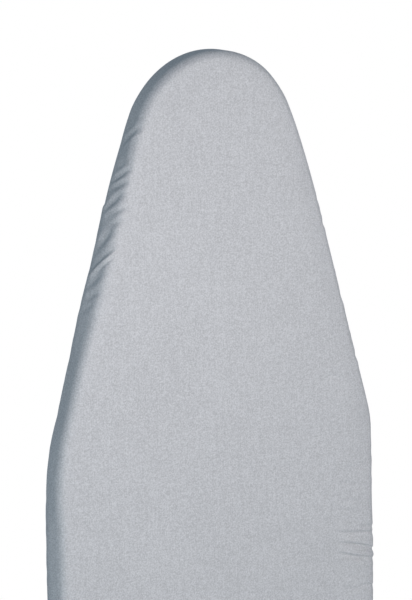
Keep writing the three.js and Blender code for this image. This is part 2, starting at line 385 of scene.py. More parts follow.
def between(y, front, rear, front_run, rear_run):
    """1 from rear to front, easing off to 0 over a run inside each."""
    return smooth((front - y) / front_run) * smooth((y - rear) / rear_run)


def distance_along(points):
    """Distance along a line of points, from its start to each."""
    return np.concatenate([[0], np.cumsum(np.linalg.norm(np.diff(points, axis=0), axis=1))])


# Outline of the board

Edge = namedtuple("Edge", "points normals along perimeter")


def right_arcs():
    """Arcs of the right edge, tail to nose: centre, radius, and the normal's first and last angle."""
    half_length = BOARD_LENGTH / 2
    half_width = BOARD_WIDTH / 2
    nose = np.array([0, half_length - NOSE_RADIUS])
    flank = nose + (NOSE_RADIUS - FLANK_RADIUS) * direction(NOSE_END_ANGLE)
    taper_start = flank + FLANK_RADIUS * direction(TAPER_ANGLE)
    corner_x = half_width - CORNER_RADIUS
    taper_run = corner_x + CORNER_RADIUS * math.cos(TAPER_ANGLE) - taper_start[0]
    taper_end = taper_start[1] - taper_run / math.tan(TAPER_ANGLE)
    corner = np.array([corner_x, taper_end - CORNER_RADIUS * math.sin(TAPER_ANGLE)])
    tail = np.array([half_width - TAIL_RADIUS, TAIL_RADIUS - half_length])
    return [
        (tail, TAIL_RADIUS, -math.pi / 2, 0.0),
        (corner, CORNER_RADIUS, 0.0, TAPER_ANGLE),
        (flank, FLANK_RADIUS, TAPER_ANGLE, NOSE_END_ANGLE),
        (nose, NOSE_RADIUS, NOSE_END_ANGLE, math.pi / 2),
    ]


def right_edge():
    """Points along the board's right edge, from the middle of the tail, and their normals' angles."""
    points = [np.array([[0, -BOARD_LENGTH / 2]])]
    angles = [np.array([-math.pi / 2])]
    for centre, radius, start, to in right_arcs():
        turn = np.linspace(start, to, ARC_POINTS)
        points.append(centre + radius * direction(turn))
        angles.append(turn)
    return np.concatenate(points), np.concatenate(angles)


def edge_stations(front_spacing, tab_spacing, rear_spacing):
    """Stations round the board's edge, anticlockwise from the middle of the tail, alike on both sides.

    Each has its outward normal, and its distance along the wall from the nose, negative on the right."""
    points, angles = right_edge()
    wall = points + WALL * direction(angles)
    run = distance_along(wall)
    fine = np.linspace(0, run[-1], RUN_POINTS)
    y = np.interp(fine, run, wall[:, 1])
    behind = np.where(y > TAB_START, tab_spacing, rear_spacing)
    spacing = np.where(y > FRONT_START, front_spacing, behind)
    passed = np.cumsum(fine[1] / spacing)
    stops = np.interp(np.linspace(passed[0], passed[-1], round(passed[-1])), passed, fine)
    normals = direction(np.interp(stops, run, angles))
    points = np.stack([np.interp(stops, run, points[:, axis]) for axis in range(2)], -1)
    mirror = np.array([-1, 1])
    points = np.concatenate([points, (points * mirror)[-2:0:-1]])
    normals = np.concatenate([normals, (normals * mirror)[-2:0:-1]])
    along = np.concatenate([stops - run[-1], (run[-1] - stops)[-2:0:-1]])
    return Edge(points, normals, along, 2 * run[-1])


def outline(edge, offset):
    """The board's outline, set off outwards by one offset, or by one for each station."""
    return edge.points + np.reshape(offset, (-1, 1)) * edge.normals


def raised(level, height):
    """Places on a level, at one height or at one for each."""
    return np.column_stack([level, np.broadcast_to(height, len(level))])


def half_width_at(edge, offset, y):
    """Half the width at y of the outline set off from the board's edge, in its front half."""
    level = outline(edge, offset)
    right = level[(level[:, 0] >= 0) & (level[:, 1] > 0)]
    right = right[np.argsort(right[:, 1])]
    return np.interp(y, right[:, 1], right[:, 0])


def spine(edge):
    """The place on the middle line that each station's row across the board runs to."""
    tail_end = TAIL_RADIUS - BOARD_LENGTH / 2
    nose_end = BOARD_LENGTH / 2 - NOSE_RADIUS
    return np.stack([np.zeros(len(edge.along)), np.clip(edge.points[:, 1], tail_end, nose_end)], -1)


def place_along(edge, side, y):
    """How far along the wall a place at y is, on the right or the left side."""
    on_side = np.flatnonzero(edge.points[:, 0] * side > 0)
    order = on_side[np.argsort(edge.points[on_side, 1])]
    return np.interp(y, edge.points[order, 1], edge.along[order])


def ripple(edge, pitch, seed):
    """Smooth random waves along the whole edge, from -1 to 1."""
    count = round(edge.perimeter / pitch)
    values = np.random.default_rng(seed).uniform(-1, 1, count)
    place = (edge.along / edge.perimeter) % 1 * count
    cell = np.floor(place).astype(int)
    share = smooth(place - cell)
    return values[cell % count] * (1 - share) + values[(cell + 1) % count] * share


# Meshes

def grid_faces(rows, columns, around):
    """Quads of a grid that is numbered row by row. Around joins the last column to the first."""
    strips = columns if around else columns - 1
    row, column = np.meshgrid(np.arange(rows - 1), np.arange(strips), indexing="ij")
    beside = (column + 1) % columns
    corners = [row * columns + column, row * columns + beside]
    corners += [(row + 1) * columns + beside, (row + 1) * columns + column]
    return np.stack(corners, -1).reshape(-1, 4).tolist()


def tube_faces(rings, sides):
    """Faces of a tube of rings, closed at both ends."""
    first = list(range(sides))[::-1]
    last = list(range((rings - 1) * sides, rings * sides))
    return grid_faces(rings, sides, True) + [first, last]


def downward_faces(points):
    """Faces, turned down, of an open grid whose rows run to the right, from the rear to the front."""
    return [face[::-1] for face in grid_faces(*points.shape[:2], False)]


def copied_faces(faces, size, count):
    """Faces of many copies of a piece that has size points."""
    return [[corner + size * copy for corner in face] for copy in range(count) for face in faces]


def mesh_object(name, points, faces, material):
    mesh = bpy.data.meshes.new(name)
    mesh.from_pydata(np.asarray(points).reshape(-1, 3).tolist(), [], faces)
    mesh.materials.append(material)
    mesh.shade_smooth()
    made = bpy.data.objects.new(name, mesh)
    bpy.context.scene.collection.objects.link(made)
    return made


def clean(made, merge=0.0, outward=False):
    """Merges points that coincide, and turns the faces of a closed piece outwards."""
    work = bmesh.new()
    work.from_mesh(made.data)
    if merge:
        bmesh.ops.remove_doubles(work, verts=work.verts, dist=merge)
        bmesh.ops.dissolve_degenerate(work, edges=work.edges, dist=merge)
    if outward:
        bmesh.ops.recalc_face_normals(work, faces=work.faces)
    work.to_mesh(made.data)
    work.free()


def thicken(made, thickness, inner=None):
    """Gives a skin its thickness on the inside, where a second material may show."""
    solidify = made.modifiers.new("thickness", "SOLIDIFY")
    solidify.thickness = thickness
    solidify.offset = -1
    if inner is not None:
        made.data.materials.append(inner)
        solidify.material_offset = 1
    evaluated = made.evaluated_get(bpy.context.evaluated_depsgraph_get())
    mesh = bpy.data.meshes.new_from_object(evaluated)
    made.modifiers.clear()
    made.data = mesh


def add_piece(made, body, stands_for=None):
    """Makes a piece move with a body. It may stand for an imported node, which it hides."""
    if stands_for is not None:
        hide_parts(stands_for)
    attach(made, body)
    return made


def stitch_places(route):
    """Places along each stitch of a row."""
    route = np.asarray(route, float)
    run = distance_along(route)
    starts = np.arange(0, run[-1] - STITCH_LENGTH, STITCH_PITCH)
    places = starts[:, None] + STITCH_SHARES * STITCH_LENGTH
    return np.stack([np.interp(places, run, route[:, axis]) for axis in range(3)], -1)


def stitch_rows(name, routes):
    """Rows of stitches under a piece, with both ends of each stitch drawn into the cloth."""
    spots = np.concatenate([stitch_places(route) for route in routes])
    beside = np.cross(spots[:, -1] - spots[:, 0], DOWN)
    beside /= np.linalg.norm(beside, axis=1, keepdims=True)
    turn = np.linspace(0, 2 * math.pi, THREAD_SIDES, endpoint=False)
    ring = np.cos(turn)[:, None] * beside[:, None, None, :] + np.sin(turn)[:, None] * DOWN
    points = spots[:, :, None, :] + STITCH_RADII[:, None, None] * ring
    points = points + STITCH_LIFTS[:, None, None] * DOWN
    rings = len(STITCH_SHARES)
    faces = copied_faces(tube_faces(rings, THREAD_SIDES), rings * THREAD_SIDES, len(spots))
    made = mesh_object(name, points, faces, THREAD)
    clean(made, outward=True)
    return made


# Materials

# Colour sockets of a mix node, which holds sockets of other kinds too
MIX_FIRST = 6
MIX_SECOND = 7
MIX_RESULT = 2

# Width of one band of a wave texture at a scale of 1
WAVE_BAND = 2 * math.pi / 20


def node(tree, kind, inputs=None, **settings):
    made = tree.nodes.new(kind)
    for name, value in settings.items():
        setattr(made, name, value)
    for name, value in (inputs or {}).items():
        if isinstance(value, bpy.types.NodeSocket):
            tree.links.new(value, made.inputs[name])
        else:
            made.inputs[name].default_value = value
    return made


def new_material(name, coordinates="Object"):
    material = bpy.data.materials.new(name)
    material.use_nodes = True
    tree = material.node_tree
    place = node(tree, "ShaderNodeTexCoord").outputs[coordinates]
    return material, tree, tree.nodes["Principled BSDF"], place


def noise(tree, place, scale, stretch=(1, 1, 1), detail=2.0, roughness=0.5):
    scaled = node(tree, "ShaderNodeVectorMath", {0: place, 1: stretch}, operation="MULTIPLY").outputs[0]
    inputs = {"Vector": scaled, "Scale": scale, "Detail": detail, "Roughness": roughness}
    return node(tree, "ShaderNodeTexNoise", inputs).outputs["Fac"]


def threads(tree, place, axis, pitch):
    """Parallel threads of a weave, a pitch apart along an axis."""
    inputs = {"Vector": place, "Scale": WAVE_BAND / pitch, "Distortion": 0.4, "Detail": 1.0}
    return node(tree, "ShaderNodeTexWave", inputs, bands_direction=axis).outputs["Fac"]


def cells(tree, place, scale):
    return node(tree, "ShaderNodeTexVoronoi", {"Vector": place, "Scale": scale}).outputs["Distance"]


def weighted(tree, parts):
    """The sum of node outputs, each times its weight."""
    total = 0.0
    for value, weight in parts:
        inputs = {0: value, 1: weight, 2: total}
        total = node(tree, "ShaderNodeMath", inputs, operation="MULTIPLY_ADD").outputs[0]
    return total


def crossed_threads(tree, place, pitch):
    """Threads both ways, a pitch apart."""
    return weighted(tree, [(threads(tree, place, axis, pitch), 0.5) for axis in "XY"])


def spread(tree, value, span, result):
    """Takes a value's span to the span of its result."""
    inputs = {"Value": value, "From Min": span[0], "From Max": span[1]}
    inputs.update({"To Min": result[0], "To Max": result[1]})
    return node(tree, "ShaderNodeMapRange", inputs).outputs["Result"]


def tint(tree, shader, parts, span, shades):
    """Colours the surface from the dark shade to the light one, as the parts' sum goes through a span."""
    factor = spread(tree, weighted(tree, parts), span, (0.0, 1.0))
    inputs = {"Factor": factor, MIX_FIRST: (*shades[0], 1), MIX_SECOND: (*shades[1], 1)}
    mix = node(tree, "ShaderNodeMix", inputs, data_type="RGBA")
    tree.links.new(mix.outputs[MIX_RESULT], shader.inputs["Base Color"])


def emboss(tree, shader, parts, strength, distance):
    inputs = {"Height": weighted(tree, parts), "Strength": strength, "Distance": distance}
    bump = node(tree, "ShaderNodeBump", inputs)
    tree.links.new(bump.outputs["Normal"], shader.inputs["Normal"])


def metallised_cotton():
    """Silver cotton: a fine plain weave with a mottled, slightly streaked metal coat."""
    material, tree, shader, place = new_material("metallised_cotton")
    speckle = noise(tree, place, scale=660, roughness=0.6)
    warp = noise(tree, place, scale=1, stretch=(900, 60, 500))
    weft = noise(tree, place, scale=1, stretch=(60, 900, 500))
    cloud = noise(tree, place, scale=14)
    weave = crossed_threads(tree, place, pitch=0.0009)
    coat = [(speckle, 0.72), (warp, 0.15), (weft, 0.08), (cloud, 0.05)]
    tint(tree, shader, coat, span=(0.36, 0.64), shades=SILVER)
    gloss = spread(tree, speckle, span=(0.3, 0.7), result=(0.56, 0.70))
    tree.links.new(gloss, shader.inputs["Roughness"])
    shader.inputs["Metallic"].default_value = 0.15
    emboss(tree, shader, [(weave, 0.5), (speckle, 0.7)], strength=0.25, distance=0.0003)
    return material


def plain_weave(name, shades, pitch, depth, coordinates="Object"):
    """Matte woven tape or cotton in one colour, with threads both ways and uneven dye."""
    material, tree, shader, place = new_material(name, coordinates)
    weave = crossed_threads(tree, place, pitch)
    fibre = noise(tree, place, scale=900, detail=3.0)
    dye = noise(tree, place, scale=25)
    tone = [(weave, 0.35), (fibre, 0.40), (dye, 0.25)]
    tint(tree, shader, tone, span=(0.30, 0.70), shades=shades)
    shader.inputs["Roughness"].default_value = 0.88
    shader.inputs["Sheen Weight"].default_value = 0.15
    emboss(tree, shader, [(weave, 0.8), (fibre, 0.3)], strength=0.5, distance=depth)
    return material


def needled_felt():
    material, tree, shader, place = new_material("felt")
    fibre = noise(tree, place, scale=260, stretch=(1, 0.45, 1), detail=6.0, roughness=0.7)
    fleck = noise(tree, place, scale=90)
    tone = [(fibre, 0.65), (fleck, 0.35)]
    tint(tree, shader, tone, span=(0.33, 0.66), shades=FELT_GREY)
    shader.inputs["Roughness"].default_value = 1.0
    shader.inputs["Sheen Weight"].default_value = 0.3
    emboss(tree, shader, [(fibre, 1.0)], strength=0.6, distance=0.0008)
    return material


def open_foam():
    material, tree, shader, place = new_material("foam")
    pores = cells(tree, place, scale=900.0)
    patch = noise(tree, place, scale=60)
    tone = [(pores, 0.7), (patch, 0.5)]
    tint(tree, shader, tone, span=(0.2, 0.8), shades=CREAM)
    shader.inputs["Roughness"].default_value = 0.95
    emboss(tree, shader, [(pores, 1.0)], strength=0.6, distance=0.0006)
    return material


def pile(name, shades, scale):
    """The dense face of hook or loop tape."""
    material, tree, shader, place = new_material(name)
    tuft = cells(tree, place, scale)
    fuzz = noise(tree, place, scale=1500, detail=4.0)
    tone = [(tuft, 0.5), (fuzz, 0.5)]
    tint(tree, shader, tone, span=(0.2, 0.7), shades=shades)
    shader.inputs["Roughness"].default_value = 0.9
    shader.inputs["Sheen Weight"].default_value = 0.25
    emboss(tree, shader, [(tuft, 0.6), (fuzz, 0.4)], strength=0.6, distance=0.0006)
    return material


COTTON = metallised_cotton()
COTTON_BACK = plain_weave("cotton_back", UNDYED, pitch=0.0008, depth=0.0003)
BINDING = plain_weave("binding_tape", TAUPE, pitch=0.0010, depth=0.0004)
ELASTIC = plain_weave("braided_elastic", OFF_WHITE, pitch=0.0014, depth=0.0005)
WEBBING = plain_weave("strap_webbing", DARK_GREY, pitch=0.0016, depth=0.0006, coordinates="UV")
THREAD = plain_weave("sewing_thread", THREAD_GREY, pitch=0.0004, depth=0.0001)
HOOKS = pile("hook_tape", HOOK_BLACK, scale=700.0)
LOOPS = pile("loop_tape", LOOP_BLACK, scale=420.0)
FELT = needled_felt()
FOAM = open_foam()


# Creases and slack of the cover cloth. Each gives a move for a row of stations at its climb.

def drag_lines():
    """Shallow creases in the right wall, and in the rear of the left one."""
    chance = np.random.default_rng(DRAG_SEED)
    lines = []
    for side, front in DRAG_FRONTS:
        for y in np.arange(front, DRAG_REAR, -DRAG_PITCH):
            top_y = y + chance.uniform(*DRAG_SHIFT)
            low_y = max(top_y - chance.uniform(*DRAG_SLANT), DRAG_LAST)
            top_climb = chance.uniform(*DRAG_TOP)
            depth = chance.uniform(*DRAG_DEPTH)
            width = chance.uniform(*DRAG_WIDTH)
            lines.append(Crease(side, top_y, top_climb, low_y, DRAG_FOOT, depth, width))
    return lines


CREASE_GROUPS = ((WALL_CREASES, PLAIN_CREASE), (TAB_CREASES, TUCK), (drag_lines(), PLAIN_CREASE))


def crease(edge, climb, one, shape):
    """A furrow between two raised lips."""
    start = np.array([place_along(edge, one.side, one.from_y), one.from_climb])
    end = np.array([place_along(edge, one.side, one.to_y), one.to_climb])
    length = np.linalg.norm(end - start)
    ahead = (end - start) / length
    along = edge.along - start[0]
    up = climb - start[1]
    run = (along * ahead[0] + up * ahead[1]) / length
    across = along * ahead[1] - up * ahead[0]
    across = across + shape.sway * np.sin(run * SWAY_TURNS * 2 * math.pi + start[0] / one.width)
    reach = np.where(across > 0, one.width * shape.ease, one.width)
    share = np.abs(across) / reach
    fade = np.sin(np.clip(run, 0, 1) * math.pi) ** CREASE_FADE
    return one.depth * fade * (shape.lip * bell(share - LIP_PLACE, 1) - bell(share, 1))


def creases(edge, climb):
    """All creases together. They fade out in the fold, where the cloth isn't slack."""
    total = np.zeros_like(edge.along)
    for group, shape in CREASE_GROUPS:
        for one in group:
            total += crease(edge, climb, one, shape)
    return total * smooth((climb - FOLD_CLIMB * SLACK_START) / FOLD_CLIMB)


def wall_lean(edge, climb):
    """How far in the walls' tops lean, in each slack stretch."""
    x, y = edge.points.T
    lean = np.zeros(len(y))
    for stretch in WALL_LEANS:
        share = between(y, stretch.front_y, stretch.rear_y, LEAN_FRONT, LEAN_REAR)
        lean += stretch.lean * share * (x * stretch.side > 0)
    wall = smooth((climb - LEAN_FOOT) / LEAN_RISE)
    return lean * wall * (1 - smooth((climb - SHOULDER_CLIMB) / LEAN_FADE))


def low_rim(edge, climb):
    """How far the right shoulder sits below its arc, along the taper."""
    x, y = edge.points.T
    taper = (x > 0) * between(y, LOW_RIM_FRONT, LOW_RIM_REAR, LOW_RIM_RUN, LOW_RIM_RUN)
    arc = smooth((climb - WALL_CLIMB) / (SHOULDER_CLIMB - WALL_CLIMB))
    past = np.clip(climb - SHOULDER_CLIMB, 0, None)
    return LOW_RIM_DROP * taper * arc * bell(past, LOW_RIM_FADE)


def gathers(edge, climb):
    """Pleats that the elastic draws in. The nose, held by its pocket, has none."""
    y = edge.points[:, 1]
    behind_pocket = smooth((POCKET_END - y) / PLEAT_RUN)
    round_tail = smooth((TAIL_START - y) / TAIL_RUN)
    pleats = sum(one.weight * ripple(edge, one.pitch, one.seed) for one in PLEATS)
    strength = behind_pocket * (PLEAT_DEPTH + TAIL_DEPTH * round_tail)
    flange = smooth(-climb / FLANGE_WIDTH * PLEAT_RISE)
    foot = FOOT_SHARE * bell(np.clip(climb - FOOT_CLIMB, 0, None), FOOT_FADE) * (climb > FOOT_START)
    return (flange + foot * (1 - flange)) * strength * pleats


def low_wall(edge, climb):
    """How far the lower wall stands out. It steps out behind the pocket, and soon settles."""
    x, y = edge.points.T
    behind = POCKET_END + STEP_LEAD - y
    freed = smooth(behind / STEP_RUN)
    shift = (STEP_OUT * freed - STEP_IN * (1 - freed)) * np.exp(-np.abs(behind) / STEP_FADE)
    for stretch in LOW_LEANS:
        share = between(y, stretch.front_y, stretch.rear_y, LOW_RUN, LOW_RUN)
        shift -= stretch.lean * share * (x * stretch.side > 0)
    return shift * bell(climb - STEP_CLIMB, STEP_HEIGHT)


# Cover cloth

Profile = namedtuple("Profile", "offset height lean climb")
Row = namedtuple("Row", "points outward climb")


def crown_height(inset):
    """Height of the cloth's top, inwards from the end of the shoulder."""
    start = SHOULDER_HEIGHT + SHOULDER_RADIUS * math.sin(SHOULDER_END)
    rise = CLOTH_TOP - start
    fade = rise / math.tan(math.pi / 2 - SHOULDER_END)
    return CLOTH_TOP - rise * np.exp(-inset / fade)


def cover_profile():
    """The rows of the cloth's side, from the flange's edge to the shoulder's end."""
    rows = []
    for offset in np.linspace(-FLANGE_WIDTH, FOLD_CENTRE, FLANGE_ROWS, endpoint=False):
        rows.append(Profile(offset, FLANGE_BOTTOM, -math.pi / 2, offset - FOLD_CENTRE))
    for lean in np.linspace(-math.pi / 2, 0, FOLD_ROWS, endpoint=False):
        out, up = FOLD_RADIUS * direction(lean)
        climb = FOLD_RADIUS * (lean + math.pi / 2)
        rows.append(Profile(FOLD_CENTRE + out, FOLD_HEIGHT + up, lean, climb))
    for height in np.linspace(FOLD_HEIGHT, SHOULDER_HEIGHT, WALL_ROWS, endpoint=False):
        rows.append(Profile(WALL, height, 0.0, FOLD_CLIMB + height - FOLD_HEIGHT))
    for lean in np.linspace(0, SHOULDER_END, SHOULDER_ROWS):
        out, up = SHOULDER_RADIUS * direction(lean)
        climb = WALL_CLIMB + SHOULDER_RADIUS * lean
        rows.append(Profile(SHOULDER_CENTRE + out, SHOULDER_HEIGHT + up, lean, climb))
    return rows


def side_rows(edge):
    """The side as it would lie with no creases."""
    rows = []
    for offset, height, lean, climb in cover_profile():
        points = raised(outline(edge, offset), height)
        outward = raised(edge.normals * math.cos(lean), math.sin(lean))
        rows.append(Row(points, outward, np.full(len(points), climb)))
    return rows


def top_rows(edge):
    """The top as it would lie with no creases: close rows along the rim, then a few to the middle line."""
    count = len(edge.along)
    rim = outline(edge, cover_profile()[-1].offset)
    inward = spine(edge) - rim
    depth = np.linalg.norm(inward, axis=1)
    insets = [np.full(count, inset) for inset in np.arange(RIM_SPACING, RIM_WIDTH, RIM_SPACING)]
    insets += [RIM_WIDTH + share * (depth - RIM_WIDTH) for share in np.linspace(0, 1, MIDDLE_ROWS)]
    upward = np.tile([0.0, 0.0, 1.0], (count, 1))
    rows = []
    for inset in insets:
        level = rim + inward * (inset / depth)[:, None]
        rows.append(Row(raised(level, crown_height(inset)), upward, SHOULDER_CLIMB + inset))
    return rows


def slack_points(edge, row):
    """A row of the cloth with its creases, pleats and leans."""
    moved = creases(edge, row.climb) + gathers(edge, row.climb)
    moved = moved + low_wall(edge, row.climb) - low_rim(edge, row.climb)
    lean = edge.normals * wall_lean(edge, row.climb)[:, None]
    return row.points + row.outward * moved[:, None] - raised(lean, 0.0)


def cover_cloth(edge):
    points = [slack_points(edge, row) for row in side_rows(edge) + top_rows(edge)]
    cloth = mesh_object("cover_cloth", points, grid_faces(len(points), len(edge.along), True), COTTON)
    clean(cloth, merge=MERGE)
    thicken(cloth, CLOTH, COTTON_BACK)
    return cloth


def build_cover(edge):
    cloth = add_piece(cover_cloth(edge), "cover", "top_cover")


# Padding

def pad(name, edge, rim_rows, top_height, low_height, material):
    """A closed pad. Its top and its underside run in from the rim rows to the middle line."""
    middle = spine(edge)
    first = outline(edge, rim_rows[0][0])
    last = outline(edge, rim_rows[-1][0])
    rows = []
    for share in PAD_SHARES:
        level = first + share * (middle - first)
        rows.append(raised(level, low_height(level)))
    for offset, height in rim_rows:
        rows.append(raised(outline(edge, offset), height))
    for share in PAD_SHARES[::-1]:
        level = last + share * (middle - last)
        rows.append(raised(level, top_height(np.linalg.norm(level - last, axis=1))))
    made = mesh_object(name, rows, grid_faces(len(rows), len(middle), True), material)
    clean(made, merge=MERGE)
    return made


def pressed_foam(edge, climb):
    """How far the foam gives way: along the low rim, and under the tucks beside the first strap's tab."""
    x, y = edge.points.T
    near = (x > 0) * bell(y - PRESS_MIDDLE, PRESS_RUN)
    pressed = PRESS_DEPTH * near * smooth((PRESS_CLIMB + PRESS_FADE - climb) / PRESS_FADE)
    return low_rim(edge, climb) + pressed


def foam_rim(edge, base):
    """Rows up the foam's edge, from its base to the end of its rounded shoulder."""
    radius = SHOULDER_RADIUS - CLOTH - FOAM_EASE
    start = math.asin((base - SHOULDER_HEIGHT) / radius)
    rows = []
    for lean in np.linspace(start, SHOULDER_END, FOAM_ARC_ROWS):
        out, up = direction(lean)
        climb = WALL_CLIMB + SHOULDER_RADIUS * lean
        reach = radius - pressed_foam(edge, climb)
        rows.append((SHOULDER_CENTRE + reach * out - wall_lean(edge, climb), SHOULDER_HEIGHT + reach * up))
    return [(rows[0][0] - FOAM_UNDERCUT, base)] + rows


def build_foam(edge):
    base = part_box("foam_pad")[0].z

    def top_height(inset):
        return crown_height(inset) - (CLOTH + FOAM_EASE) - pressed_foam(edge, SHOULDER_CLIMB + inset)

    def low_height(level):
        return base

    foam = pad("foam_pad_soft", edge, foam_rim(edge, base), top_height, low_height, FOAM)
    add_piece(foam, "cover", "foam_pad")


def soft_waves(level, size, seed):
    """Gentle random hollows over a flat piece, from -1 to 1."""
    chance = np.random.default_rng(seed)
    total = np.zeros(len(level))
    for heading in chance.uniform(0, 2 * math.pi, WAVE_COUNT):
        length = size * chance.uniform(*WAVE_STRETCH)
        phase = chance.uniform(*WAVE_PHASE)
        total += np.sin(level @ direction(heading) * 2 * math.pi / length + phase) / WAVE_COUNT
    return total


def build_felt(edge):
    low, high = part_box("felt_underlay")
    offset = high.x - BOARD_WIDTH / 2
    rim = [(offset - inset, low.z + up) for inset, up in FELT_LOW_RIM]
    rim += [(offset - inset, high.z - down) for inset, down in FELT_HIGH_RIM]

    def top_height(inset):
        return high.z

    def low_height(level):
        return low.z - FELT_WAVE + FELT_WAVE * soft_waves(level, FELT_WAVE_SIZE, FELT_SEED)

    felt = pad("felt_underlay_soft", edge, rim, top_height, low_height, FELT)
    add_piece(felt, "cover", "felt_underlay")


# Elastic hem

def hem_route(edge):
    """Stations behind the pocket, from its left end round the tail to its right end."""
    behind = edge.points[:, 1] + CASING_MIDDLE * edge.normals[:, 1] < HEM_END - HEM_CUT
    first = np.flatnonzero(behind & ~np.roll(behind, 1))[0]
    return np.roll(np.arange(len(behind)), -first)[: behind.sum()]


def along_hem(edge, route, offsets, heights):
    """Points along the hem, a row for each station. Both ends are cut square at the pocket."""
    normals = edge.normals[route][:, None, :]
    level = edge.points[route][:, None, :] + offsets[..., None] * normals
    ahead = np.stack([-normals[..., 1], normals[..., 0]], -1)
    forward = ahead[..., 1:]
    reach = (HEM_END - level[..., 1:]) / np.where(np.abs(forward) < LEAST_AHEAD, 1, forward)
    cut = level + ahead * reach
    level = np.concatenate([cut[:1], level, cut[-1:]])
    heights = np.concatenate([heights[:1], heights, heights[-1:]])
    return np.concatenate([level, heights[..., None]], -1)


def flat_tube(half_width, half_height, sides):
    """Section of a flattened tube, as places across and up."""
    across, up = direction(np.linspace(0, 2 * math.pi, sides, endpoint=False)).T
    across = half_width * np.sign(across) * np.abs(across) ** FLATTEN_ACROSS
    up = half_height * np.sign(up) * np.abs(up) ** FLATTEN_UP
    return across, up


def casing_tube(edge, route, seam):
    half_height = (CASING_HIGH.z - CASING_LOW.z) / 2
    across, up = flat_tube(CASING_WIDTH / 2, half_height, CASING_SIDES)
    ruche = ripple(edge, RUCHE_PITCH, RUCHE_SEED)[route][:, None]
    ruffle = ripple(edge, RUFFLE_PITCH, RUFFLE_SEED)[route][:, None]
    inner = np.clip(-across / (CASING_WIDTH / 2), 0, 1) ** RUFFLE_POWER
    offsets = CASING_MIDDLE + across + RUFFLE_DEPTH * ruffle * inner
    under = np.clip(-up / half_height, 0, 1)
    pressed = bell(offsets - seam, HEM_SEAM_WIDTH)
    lifted = RUCHE_LIFT * (1 + ruche) * (1 - pressed) + HEM_SEAM_LIFT * pressed
    points = along_hem(edge, route, offsets, CASING_LOW.z + half_height + up + under * lifted)
    tube = mesh_object("hem_casing_tape", points, grid_faces(*points.shape[:2], True), BINDING)
    clean(tube, outward=True)
    thicken(tube, CASING_WALL)
    return tube


def hem_stitching(edge, route, seam):
    offsets = np.full((len(route), 1), seam)
    heights = np.full((len(route), 1), CASING_LOW.z + HEM_STITCH_LIFT)
    return stitch_rows("hem_stitching", [along_hem(edge, route, offsets, heights)[:, 0]])


def elastic_braid(edge, route):
    low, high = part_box("hem_elastic")
    width = CASING_WIDTH - 2 * (CASING_HIGH.x - high.x)
    half_height = (high.z - low.z) / 2
    across, up = flat_tube(width / 2, half_height, ELASTIC_SIDES)
    offsets = np.tile(CASING_MIDDLE + across, (len(route), 1))
    heights = np.tile(low.z + half_height + up, (len(route), 1))
    points = along_hem(edge, route, offsets, heights)
    braid = mesh_object("hem_elastic_braid", points, tube_faces(*points.shape[:2]), ELASTIC)
    clean(braid, outward=True)
    return braid


def build_hem(edge):
    """Builds the hem, and gives the pieces of it that are sewn to the cover cloth."""
    route = hem_route(edge)
    seam = CASING_MIDDLE + CASING_WIDTH / 2 - HEM_SEAM_INSET
    casing = add_piece(casing_tube(edge, route, seam), "cover", "hem_casing")
    stitching = add_piece(hem_stitching(edge, route, seam), "cover")
    add_piece(elastic_braid(edge, route), "cover", "hem_elastic")
    return [casing, stitching]


# Nose pocket

def pocket_sag(share, y):
    """How far the pocket's panel hangs, from its seam to the middle of its rear edge."""
    forward = (y - POCKET_END) / (POCKET_HIGH.y - POCKET_END)
    return POCKET_SAG * (1 - share**2) * smooth((1 - forward) * SAG_RISE)


def pocket_grid(edge, ys, columns, height):
    """Rows across the pocket, one for each y, hanging a little below a height."""
    half = half_width_at(edge, -POCKET_MARGIN, ys)[:, None]
    share = np.sin(np.linspace(-math.pi / 2, math.pi / 2, columns))[None, :]
    inset = (1 - np.abs(share)) / PUCKER_SHARE
    pucker = np.clip(1 - inset, 0, 1) * inset * smooth(half / PUCKER_HALF_WIDTH)
    wave = np.sin(ys[:, None] * 2 * math.pi / PUCKER_PITCH + PUCKER_PHASE * np.sign(share))
    y = np.repeat(ys[:, None], columns, 1)
    z = height - pocket_sag(share, y) - PUCKER_DEPTH * pucker * wave
    return np.stack([half * share, y, z], -1)


def pocket_rows():
    """The y of each row of the pocket, closer together towards the nose."""
    nose_centre = BOARD_LENGTH / 2 - NOSE_RADIUS
    nose_radius = POCKET_HIGH.y - nose_centre
    round_start = nose_centre + nose_radius * POCKET_ROUND_START
    straight = np.linspace(POCKET_END, round_start, POCKET_STRAIGHT_ROWS, endpoint=False)
    turn = np.linspace(math.asin(POCKET_ROUND_START), POCKET_ROUND_END, POCKET_ROUND_ROWS)
    return np.concatenate([straight, nose_centre + nose_radius * np.sin(turn)])


def pocket_panel(edge, ys):
    points = pocket_grid(edge, ys, POCKET_COLUMNS, POCKET_LOW.z)
    panel = mesh_object("nose_pocket_panel", points, downward_faces(points), COTTON)
    clean(panel, merge=MERGE)
    thicken(panel, CLOTH, COTTON_BACK)
    return panel


def pocket_binding(edge, ys, low, high):
    points = pocket_grid(edge, ys, BINDING_COLUMNS, low.z)
    tape = mesh_object("pocket_binding", points, downward_faces(points), BINDING)
    thicken(tape, high.z - low.z)
    return tape


def pocket_stitching(edge, tape_ys, low, high):
    """Two rows along the tape, and one round the nose."""
    routes = []
    for row in BINDING_SEAMS:
        line = pocket_grid(edge, tape_ys[row:row + 1], BINDING_COLUMNS, low.z)[0]
        routes.append(line[BINDING_SEAM_END:-BINDING_SEAM_END])
    front = edge.points[:, 1] > high.y + POCKET_SEAM_INSET
    seam = outline(edge, -(POCKET_MARGIN + POCKET_SEAM_INSET))[front]
    routes.append(raised(seam, POCKET_LOW.z - POCKET_SEAM_LIFT))
    return stitch_rows("pocket_stitching", routes)


